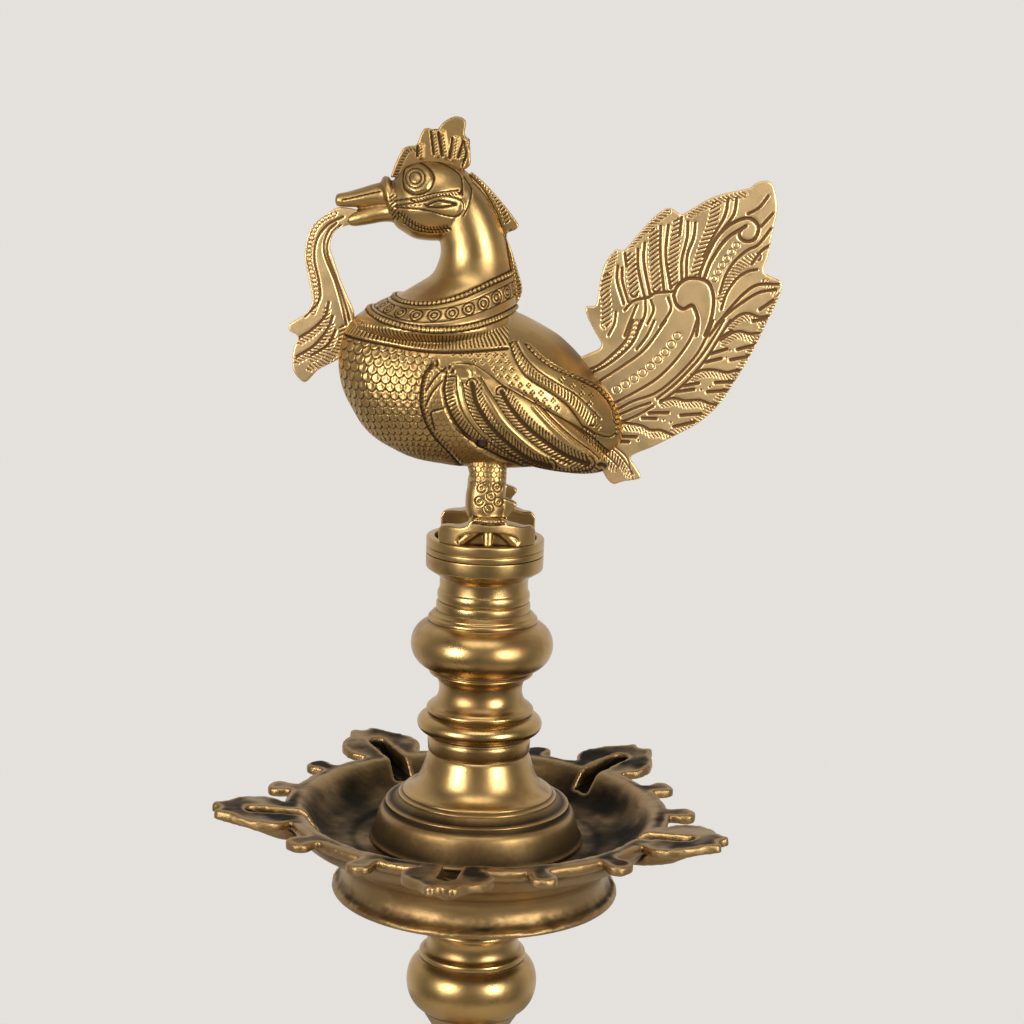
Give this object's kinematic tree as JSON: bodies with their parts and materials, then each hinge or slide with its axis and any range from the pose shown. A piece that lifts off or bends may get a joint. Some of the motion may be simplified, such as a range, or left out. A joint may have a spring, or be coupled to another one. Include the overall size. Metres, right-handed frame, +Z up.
{
  "type": "standing oil lamp",
  "caption": "Tall turned brass oil lamp on a wide foot, with a spouted oil pan and a bird finial; every section unscrews.",
  "frame": {"origin": "centre of the foot, on the floor", "axes": "+Z up the column, -X the way the bird faces, +X towards its tail"},
  "size_m": [0.2978, 0.2978, 0.914],
  "materials": {
    "turned_brass": "turned and polished, darkened in the grooves",
    "pan_brass": "cast, brown patina with black grime, worn bright on the edges",
    "bird_brass": "cast and chased, rubbed bright over dark recesses",
    "tail_brass": "engraved, rubbed bright with dark brown lines",
    "stud_brass": "machine-cut thread, dull"
  },
  "bodies": {
    "base": {"base_foot": "turned_brass"},
    "lower_stud": {"lower_stem_stud": "stud_brass"},
    "lower_section": {"lower_stem": "turned_brass"},
    "upper_stud": {"upper_stem_stud": "stud_brass"},
    "upper_section": {"upper_stem": "turned_brass"},
    "pan": {"oil_pan": "pan_brass"},
    "riser_pin": {"riser_stud": "stud_brass"},
    "riser": {"pan_riser": "turned_brass"},
    "finial_pin": {"finial_stud": "stud_brass"},
    "finial": {"finial_plate": "turned_brass", "right_leg": "bird_brass", "left_leg": "bird_brass", "bird_body": "bird_brass", "bird_crest": "bird_brass", "bird_mane": "bird_brass", "beak_garland": "bird_brass", "bird_tail": "tail_brass"}
  },
  "joints": [
    {"name": "lower_screw_rise", "type": "slide", "parent": "base", "child": "lower_stud", "axis": [0, 0, 1], "range_m": [0, 0.0151]},
    {"name": "lower_screw_turn", "type": "hinge", "parent": "lower_stud", "child": "lower_section", "pos_m": [0, 0, 0.13], "axis": [0, 0, 1], "range_deg": [0, 2700]},
    {"name": "upper_screw_rise", "type": "slide", "parent": "lower_section", "child": "upper_stud", "axis": [0, 0, 1], "range_m": [0, 0.0151]},
    {"name": "upper_screw_turn", "type": "hinge", "parent": "upper_stud", "child": "upper_section", "pos_m": [0, 0, 0.33], "axis": [0, 0, 1], "range_deg": [0, 2700]},
    {"name": "riser_screw_rise", "type": "slide", "parent": "upper_section", "child": "riser_pin", "axis": [0, 0, 1], "range_m": [0, 0.0151]},
    {"name": "riser_screw_turn", "type": "hinge", "parent": "riser_pin", "child": "riser", "pos_m": [0, 0, 0.567], "axis": [0, 0, 1], "range_deg": [0, 2700]},
    {"name": "finial_screw_rise", "type": "slide", "parent": "riser", "child": "finial_pin", "axis": [0, 0, 1], "range_m": [0, 0.0151]},
    {"name": "finial_screw_turn", "type": "hinge", "parent": "finial_pin", "child": "finial", "pos_m": [0, 0, 0.709], "axis": [0, 0, 1], "range_deg": [0, 2700]},
    {"name": "pan_turn", "type": "hinge", "parent": "upper_section", "child": "pan", "pos_m": [0, 0, 0.562], "axis": [0, 0, 1], "continuous": true}
  ],
  "couplings": [
    {"joint": "lower_screw_rise", "follows": "lower_screw_turn", "m_per_rad": 0.00031831},
    {"joint": "upper_screw_rise", "follows": "upper_screw_turn", "m_per_rad": 0.00031831},
    {"joint": "riser_screw_rise", "follows": "riser_screw_turn", "m_per_rad": 0.00031831},
    {"joint": "finial_screw_rise", "follows": "finial_screw_turn", "m_per_rad": 0.00031831}
  ]
}
